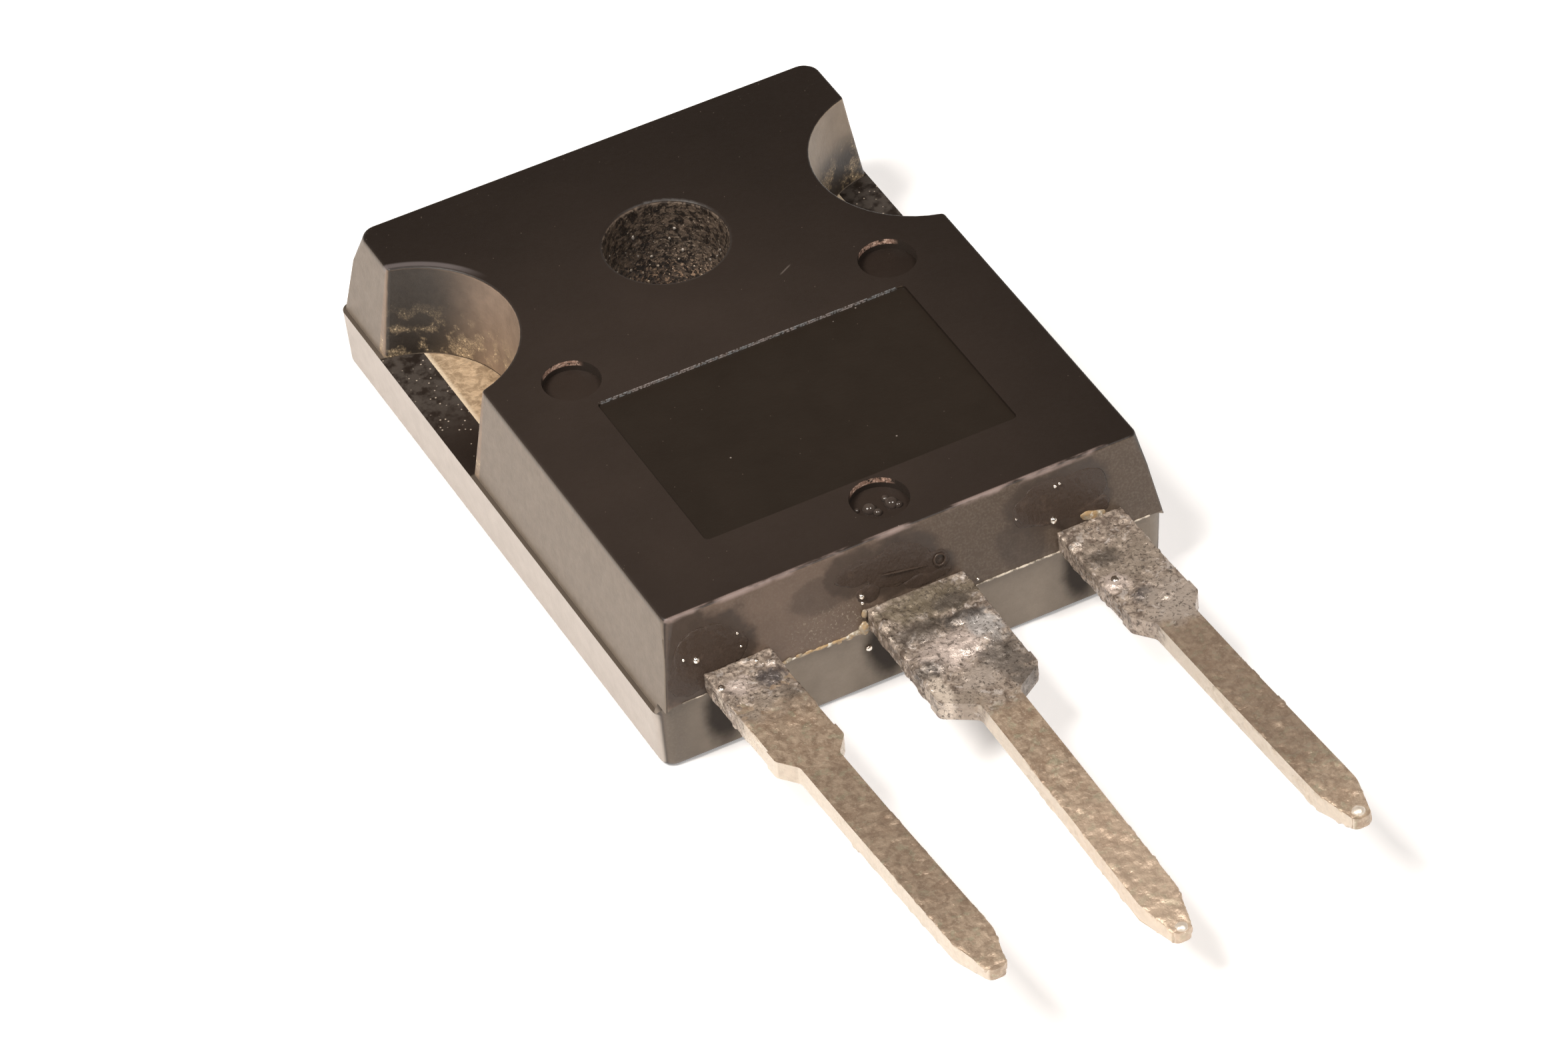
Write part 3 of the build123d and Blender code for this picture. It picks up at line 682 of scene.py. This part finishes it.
def roughen(piece, size, depth):
    """Push the surface in and out by cloudy noise."""
    clouds = bpy.data.textures.new("clouds", "CLOUDS")
    clouds.noise_scale = size
    clouds.noise_depth = 2
    use_modifier(piece, "DISPLACE", texture=clouds, texture_coords="GLOBAL",
                 strength=depth, mid_level=0.5)


def melt_and_pit(piece, *pitting):
    """Melt the parts of a skin into one, and pit it; each pitting is (size, depth)."""
    use_modifier(piece, "REMESH", mode="VOXEL", voxel_size=skin_voxel)
    use_modifier(piece, "SMOOTH", iterations=2)
    for size, depth in pitting:
        roughen(piece, size, depth)


def drop(place, radii, turn=(0, 0, 0), ragged=0.3, rings=16):
    """Uneven drop or lens: a ball that is roughened, then flattened and turned."""
    bpy.ops.object.select_all(action="DESELECT")
    bpy.ops.mesh.primitive_uv_sphere_add(segments=2 * rings, ring_count=rings, location=place)
    piece = bpy.context.object
    roughen(piece, 0.7, ragged)
    piece.scale = radii
    piece.rotation_euler = turn
    bpy.ops.object.transform_apply(location=True, rotation=True, scale=True)
    return piece


def join(pieces):
    """Make one piece of several."""
    bpy.ops.object.select_all(action="DESELECT")
    for piece in pieces:
        piece.select_set(True)
    bpy.context.view_layer.objects.active = pieces[0]
    if len(pieces) > 1:
        bpy.ops.object.join()
    return pieces[0]


def settle(piece, name, finish):
    """Bring a finished piece from millimetres to metres and fix it to the part."""
    bpy.ops.object.select_all(action="DESELECT")
    piece.select_set(True)
    bpy.context.view_layer.objects.active = piece
    bpy.ops.transform.resize(value=(mm, mm, mm), center_override=(0, 0, 0))
    bpy.ops.object.transform_apply(location=True, rotation=True, scale=True)
    bpy.ops.object.shade_smooth()
    piece.name = name
    piece.data.name = name
    finish.cover(piece)
    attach(piece, "root")


def shoulder_skin(centre, width, rise, length, lumps):
    """Skin round a shoulder that follows its bend and dips into it at the end, with lumps."""
    root = lead_end - 0.10
    bpy.ops.object.select_all(action="DESELECT")
    bpy.ops.mesh.primitive_cube_add(
        size=1, location=(centre, -(root + level_until) / 2, lead_middle),
        scale=(width + 2 * skin_proud, level_until - root, lead_thickness + 2 * skin_proud))
    skin = bpy.context.object
    bpy.ops.object.transform_apply(location=True, rotation=True, scale=True)
    pick_faces(skin, lambda normal: normal.y < -0.9)
    done = 0.0
    for step, slim_x, slim_z in ((0.7 * length, 1.0, 0.96), (0.3 * length + 0.25, 0.95, 0.84)):
        done += step
        bpy.ops.mesh.extrude_region_move(
            TRANSFORM_OT_translate={"value": (0, -step, rise * step)})
        end = (centre, -level_until - done, lead_middle + rise * done)
        bpy.ops.transform.resize(value=(slim_x, 1, slim_z), center_override=end)
    bpy.ops.object.mode_set(mode="OBJECT")
    skin = join([skin] + [drop(place, radii, ragged=0.25) for place, radii in lumps])
    melt_and_pit(skin, (0.55, 0.10), (0.20, 0.10))
    return skin


def burnt_solder(name, thin_from, thin_to, zones):
    """Old solder over tin, which it leaves bare between two places along Y."""
    finish = tin_plate(name)
    bare = thinned(finish, thin_from, thin_to)
    finish.give("Base Color", finish.mix(bare, old_solder(finish, zones), finish.colour))
    dull = finish.rise(finish.grain(0.35, 2), 0.35, 0.65)
    finish.give("Roughness", finish.blend(dull, 0.24, 0.60))
    finish.relief(finish.grain(0.09, 3), 0.030)
    return finish


gate_solder = burnt_solder("gate_solder", -16.4, -17.5, [
    ((-5.4, -17.1, 3.1), (1.2, 0.8, 1.0), grey_brown),
    ((-5.0, -15.7, 3.0), (0.40, 0.28, 0.5), dark_blue),
    ((-4.8, -16.6, 3.0), (0.30, 0.40, 0.5), brown),
    ((-5.9, -15.6, 3.0), (0.35, 0.35, 0.5), rosy),
])
gate_lumps = [
    ((-6.38, -15.55, 2.98), (0.15, 0.20, 0.13)), ((-6.40, -14.86, 2.95), (0.10, 0.14, 0.10)),
    ((-4.66, -15.22, 3.03), (0.14, 0.14, 0.11)), ((-5.15, -14.85, 3.02), (0.08, 0.08, 0.07)),
    ((-5.0, -15.75, 3.0), (0.40, 0.25, 0.10)),
]
settle(shoulder_skin(-lead_pitch, 2.0, 0.065, 2.2, gate_lumps),
       "gate_solder", gate_solder)

collector_solder = burnt_solder("collector_solder", *collector_thins, collector_zones)
collector_lumps = [
    ((-1.38, -14.90, 2.98), (0.14, 0.15, 0.13)), ((-1.34, -15.50, 2.95), (0.22, 0.24, 0.20)),
    ((-1.44, -16.02, 2.93), (0.15, 0.20, 0.16)), ((-0.65, -16.35, 3.0), (0.55, 0.28, 0.13)),
    ((0.62, -16.30, 3.0), (0.45, 0.24, 0.13)), ((0.30, -17.2, 2.97), (1.0, 0.50, 0.12)),
    ((-0.9, -17.4, 2.95), (0.45, 0.45, 0.13)),
]
settle(shoulder_skin(0.0, 3.0, -0.028, 3.0, collector_lumps),
       "collector_solder", collector_solder)

emitter_solder = burnt_solder("emitter_solder", *emitter_thins, emitter_zones)
emitter_lumps = [
    ((4.72, -15.35, 2.99), (0.28, 0.22, 0.14)), ((4.80, -17.35, 3.06), (0.32, 0.36, 0.17)),
    ((5.15, -18.15, 3.10), (0.28, 0.25, 0.14)), ((5.75, -18.55, 3.12), (0.30, 0.26, 0.13)),
    ((5.1, -16.2, 3.0), (0.30, 0.20, 0.10)),
]
settle(shoulder_skin(lead_pitch, 2.0, 0.059, 2.95, emitter_lumps),
       "emitter_solder", emitter_solder)

# ------------------------------------------------------------------ old solder on the legs
# The outer part of each leg was soldered into the board. A film of that solder is left round
# it, uneven along the edges, with a few small lumps low on the side towards the gate.

leg_bend, tip_end = 22.28, 29.43    # hole axis to the second bend and to the end of the tips
lift_at_bend = 0.4                  # share of the lift of a tip that its second bend has
taper_start = 28.05
film_width, film_thickness = 1.215, 0.615


def leg_film(centre, lift, first_lump):
    """Film round a leg that follows its second bend, and dips into the tin where it starts."""
    def height(distance):
        if distance < leg_bend:
            share = lift_at_bend * (distance - level_until) / (leg_bend - level_until)
        else:
            past_bend = (distance - leg_bend) / (tip_end - leg_bend)
            share = lift_at_bend + (1 - lift_at_bend) * past_bend
        return lead_middle + lift * share

    distance, width, thickness = 21.2, 1.14, 0.54
    bpy.ops.object.select_all(action="DESELECT")
    bpy.ops.mesh.primitive_cube_add(
        size=1, location=(centre, -distance, height(distance)), scale=(width, 0.05, thickness))
    film = bpy.context.object
    bpy.ops.object.transform_apply(location=True, rotation=True, scale=True)
    pick_faces(film, lambda normal: normal.y < -0.9)
    for end, end_width, end_thickness in (
            (leg_bend, film_width, film_thickness), (taper_start, film_width, film_thickness),
            (29.30, 0.60, 0.42)):
        step = (0, distance - end, height(end) - height(distance))
        bpy.ops.mesh.extrude_region_move(TRANSFORM_OT_translate={"value": step})
        bpy.ops.transform.resize(value=(end_width / width, 1, end_thickness / thickness),
                                 center_override=(centre, -end, height(end)))
        distance, width, thickness = end, end_width, end_thickness
    bpy.ops.object.mode_set(mode="OBJECT")
    lumps = []
    for step in range(5):
        place = first_lump + 1.35 * step + 0.55 * sin(4.0 * step + centre)
        swell = 0.75 + 0.25 * sin(2.3 * step + 2 * centre)
        lumps.append(drop((centre - 0.56, -place, height(place) - 0.22),
                          (0.10 * swell, 0.36 * swell, 0.12 * swell), ragged=0.5))
    film = join([film] + lumps)
    melt_and_pit(film, (0.40, 0.13), (0.15, 0.06))
    return film


settle(leg_film(-lead_pitch, 1.05, 22.1), "gate_leg_solder", lead_tin)
settle(leg_film(0.0, -0.45, 22.4), "collector_leg_solder", frame_tin)
settle(leg_film(lead_pitch, 0.95, 21.9), "emitter_leg_solder", lead_tin)

# ------------------------------------------------------------------ dried flux on the lead-end wall
# Flux from the old joints has run up the wall above each lead and dried as a thin, dark,
# glossy film, with a few solder beads caught in it.

film_half_thickness = 0.020
film_spread = 0.72              # share of a stain that its film still covers


def flux_film(lenses):
    """Thin lenses on the wall that run into each other, as (x, z, half width, half height)."""
    return join([drop(wall_point(x, z),
                      (film_spread * width, film_half_thickness, film_spread * height),
                      (-wall_lean, 0, 0), 0.45, 28)
                 for x, z, width, height in lenses])


dried_flux = Finish("dried_flux", ior=1.45, Specular_IOR_Level=0.30)
amber = dried_flux.rise(dried_flux.grain(0.35, 3, tangle=0.4), 0.55, 0.72)
dried_flux.give("Base Color", dried_flux.mix(
    dried_flux.both(amber, 0.5), (0.058, 0.041, 0.032), (0.102, 0.072, 0.055)))
matte = dried_flux.rise(dried_flux.grain(0.3, 3), 0.4, 0.7)
dried_flux.give("Roughness", dried_flux.blend(matte, 0.22, 0.44))
dried_flux.relief(dried_flux.grain(0.20, 3), 0.020)

flux_lenses = {
    "gate_flux": [
        (-6.35, 3.60, 1.45, 1.30), (-6.90, 3.10, 0.85, 0.80), (-5.55, 3.50, 0.75, 0.65)],
    "collector_flux": [
        (-1.45, 4.15, 1.05, 0.50), (-0.40, 3.95, 1.35, 0.90), (0.65, 3.60, 0.75, 0.50),
        (0.45, 3.25, 1.00, 0.32), (-1.35, 3.45, 0.50, 0.40)],
    "emitter_flux": [
        (4.45, 4.00, 1.35, 0.95), (5.35, 3.95, 1.15, 0.95), (3.75, 3.95, 0.75, 0.65),
        (5.75, 3.35, 0.60, 0.40)]}
for name, lenses in flux_lenses.items():
    settle(flux_film(lenses), name, dried_flux)

# a ring left by a burst bubble, and a long wrinkle beside it
bpy.ops.object.select_all(action="DESELECT")
bpy.ops.mesh.primitive_torus_add(
    location=wall_point(0.87, 3.65, 0.05), rotation=(radians(90) - wall_lean, 0, 0),
    major_radius=0.17, minor_radius=0.035, major_segments=36, minor_segments=10)
bubble_ring = bpy.context.object
bpy.ops.object.transform_apply(location=True, rotation=True, scale=True)
roughen(bubble_ring, 0.15, 0.03)
wrinkle = drop(wall_point(-0.2, 3.74, 0.04), (0.72, 0.030, 0.030),
               (-wall_lean, radians(12), 0), 0.5)
settle(join([bubble_ring, wrinkle]), "flux_wrinkles", dried_flux)

bright_solder = Finish("bright_solder", metallic=1.0)
tarnish = bright_solder.grain(0.08, 3)
bright_solder.give("Base Color", bright_solder.mix(tarnish, (0.80, 0.70, 0.60), (0.97, 0.93, 0.88)))
bright_solder.give("Roughness", bright_solder.blend(tarnish, 0.10, 0.30))
wall_beads = [                  # x, z and radius
    (-6.64, 3.55, 0.105), (-7.00, 3.70, 0.050), (-5.33, 3.86, 0.045), (-5.29, 3.43, 0.040),
    (-1.58, 3.47, 0.085), (-1.59, 3.26, 0.055), (4.39, 3.45, 0.110), (4.60, 4.44, 0.055),
    (4.75, 4.47, 0.045), (1.89, 2.60, 0.045), (3.30, 3.92, 0.035)]
shoulder_beads = [
    ((-6.34, -15.42, 3.03), 0.11), ((-5.02, -14.93, 3.04), 0.07),
    ((-1.32, -15.42, 3.03), 0.13), ((-1.47, -16.10, 2.96), 0.09), ((4.80, -17.32, 3.16), 0.13)]
beads = [drop(wall_point(x, z, 0.03), (size, size, size), ragged=0.15, rings=10)
         for x, z, size in wall_beads]
beads += [drop(place, (size, 1.2 * size, 0.7 * size), ragged=0.15, rings=10)
          for place, size in shoulder_beads]
settle(join(beads), "solder_beads", bright_solder)

# ------------------------------------------------------------------ crust along the parting line
# Moulding flash stands as a thin seam where the mould halves met under the leads. Between the
# gate and collector leads amber and white flux has dried on it.

seam_height = 2.41


def seam(start, end, radius, unevenness):
    """Thin ragged rod along the parting line of the lead end."""
    bpy.ops.object.select_all(action="DESELECT")
    bpy.ops.mesh.primitive_cylinder_add(
        vertices=8, radius=radius, depth=end - start, rotation=(0, radians(90), 0),
        location=((start + end) / 2, -lead_end - 0.3 * radius, seam_height))
    rod = bpy.context.object
    bpy.ops.object.transform_apply(location=True, rotation=True, scale=True)
    use_modifier(rod, "REMESH", mode="VOXEL", voxel_size=radius / 2.2)
    roughen(rod, 0.22, unevenness)
    return rod


seam_resin = Finish("seam_resin")
rubbed = seam_resin.rise(seam_resin.grain(0.25, 3), 0.40, 0.62)
seam_resin.give("Base Color", seam_resin.mix(rubbed, (0.14, 0.115, 0.09), (0.62, 0.55, 0.46)))
seam_resin.give("Roughness", seam_resin.blend(rubbed, 0.55, 0.35))
seams = [seam(1.55, 4.45, 0.030, 0.045), seam(6.55, 7.30, 0.026, 0.035),
         seam(-7.25, -6.50, 0.026, 0.045)]
settle(join(seams), "parting_seam", seam_resin)

crust = Finish("flux_crust")
amber = crust.rise(crust.grain(0.30, 3), 0.42, 0.60)
crust.colour = crust.mix(amber, (0.34, 0.29, 0.22), (0.40, 0.275, 0.145))
whitish = crust.rise(crust.grain(0.16, 3), 0.55, 0.66)
crust.paint(whitish, (0.66, 0.62, 0.54))
crust.give("Base Color", crust.colour)
crust.give("Roughness", crust.blend(whitish, 0.35, 0.6))
crust.relief(crust.grain(0.07, 3), 0.02)
root_blobs = [drop((-1.66, -lead_end - 0.02, 2.50), (0.16, 0.10, 0.22), ragged=0.5),
              drop((-1.85, -lead_end, 2.42), (0.30, 0.06, 0.08), ragged=0.5),
              drop((-1.60, -lead_end + 0.04, 2.95), (0.08, 0.06, 0.16), ragged=0.5)]
seam_crumbs = []
for step in range(9):
    place = (-4.3 + 0.31 * step, -lead_end - 0.01, seam_height + 0.05 * sin(7.0 * step))
    radii = (0.10 + 0.06 * sin(3.1 * step), 0.035, 0.055 + 0.03 * cos(5.3 * step))
    seam_crumbs.append(drop(place, radii, ragged=0.6, rings=10))
settle(join([seam(-4.42, -1.60, 0.032, 0.070)] + root_blobs + seam_crumbs),
       "flux_crust", crust)
scab = drop(wall_point(5.62, 3.12, 0.0), (0.40, 0.05, 0.15), (-wall_lean, 0.2, 0), 0.6)
settle(scab, "flux_scab", crust)
low_bead = drop((-1.52, -lead_end + 0.07, 1.62), (0.10, 0.07, 0.09), ragged=0.3)
settle(low_bead, "wall_bead", bright_solder)

# ------------------------------------------------------------------ bubbles in a pin mark
# Flux has run into the pin mark near the leads and set there as glossy bubbles.

glossy_flux = Finish("glossy_flux")
haze = glossy_flux.grain(0.15, 2)
glossy_flux.give("Base Color", glossy_flux.mix(haze, (0.022, 0.017, 0.015), (0.085, 0.066, 0.056)))
glossy_flux.give("Roughness", glossy_flux.blend(haze, 0.07, 0.18))
glossy_flux.relief(haze, 0.006)
pin_mark_floor = body_top - pin_mark_depth
bubble_places = [               # x, y and radius
    (-0.30, -12.78, 0.20), (-0.16, -13.02, 0.13), (0.28, -12.62, 0.12),
    (0.34, -12.88, 0.21), (0.48, -13.02, 0.12), (-0.62, -12.66, 0.08)]
bubbles = [drop((x, y, pin_mark_floor + 0.02), (size, size, 0.85 * size), ragged=0.1, rings=12)
           for x, y, size in bubble_places]
settle(join(bubbles), "mark_bubbles", glossy_flux)

# ------------------------------------------------------------------ crumbs in the mounting hole
# The wall of the hole is rough from moulding, and crumbs of flux and metal dust cling to it,
# most of them low down.

crumb_dust = Finish("crumb_dust", metallic=0.15)
worn = crumb_dust.grain(0.30, 3)
crumb_dust.give("Base Color", crumb_dust.mix(
    crumb_dust.rise(crumb_dust.z, 3.4, 1.8),
    crumb_dust.mix(worn, (0.10, 0.086, 0.074), (0.62, 0.56, 0.50)),
    crumb_dust.mix(worn, (0.14, 0.098, 0.066), (0.90, 0.70, 0.48))))
crumb_dust.give("Roughness", crumb_dust.blend(worn, 0.45, 0.22))
crumb_dust.relief(crumb_dust.grain(0.03, 2), 0.004)
crumb_count = 230
crumb_ring = 1.805              # radius of their ring, just inside the plastic
scatter = Random(41)
crumbs = []
for _ in range(crumb_count):
    turn = scatter.uniform(0, 2 * pi)
    height = 4.75 - 4.2 * scatter.random() ** 0.7
    size = scatter.uniform(0.022, 0.058)
    bpy.ops.mesh.primitive_ico_sphere_add(
        subdivisions=2, radius=size, scale=(1, 1, scatter.uniform(0.7, 1.6)),
        location=(crumb_ring * cos(turn), crumb_ring * sin(turn), height))
    crumbs.append(bpy.context.object)
crumbs = join(crumbs)
bpy.ops.object.transform_apply(location=True, rotation=True, scale=True)
roughen(crumbs, 0.06, 0.030)
settle(crumbs, "hole_crumbs", crumb_dust)

# ------------------------------------------------------------------ burr and tips
# Cutting the tie bar off left a thin bright burr under the collector's shoulder, and drops of
# solder still hang on the tips.

bpy.ops.object.select_all(action="DESELECT")
bpy.ops.mesh.primitive_cone_add(
    vertices=10, radius1=0.055, radius2=0.02, depth=0.92, location=(-1.02, -19.10, 2.30),
    rotation=(radians(90), 0, radians(55)))
burr = bpy.context.object
bpy.ops.object.transform_apply(location=True, rotation=True, scale=True)
use_modifier(burr, "REMESH", mode="VOXEL", voxel_size=0.02)
roughen(burr, 0.2, 0.05)
settle(burr, "tie_bar_burr", bright_solder)

set_solder = Finish("set_solder", metallic=0.55)
skin_cloud = set_solder.grain(0.10, 3)
set_solder.give("Base Color", set_solder.mix(skin_cloud, (0.62, 0.53, 0.43), (0.94, 0.88, 0.80)))
set_solder.give("Roughness", set_solder.blend(skin_cloud, 0.30, 0.48))
set_solder.relief(set_solder.grain(0.06, 2), 0.008)
tip_beads = {
    "collector_tip_bead": ((0.02, -tip_end + 0.20, 2.38), (0.22, 0.20, 0.15), set_solder),
    "emitter_tip_bead": ((lead_pitch, -tip_end + 0.28, 3.80), (0.21, 0.20, 0.15), set_solder),
    "gate_tip_bead": ((-lead_pitch, -tip_end + 0.12, 3.72), (0.22, 0.16, 0.17), lead_tin)}
for name, (place, radii, finish) in tip_beads.items():
    settle(drop(place, radii, ragged=0.2), name, finish)
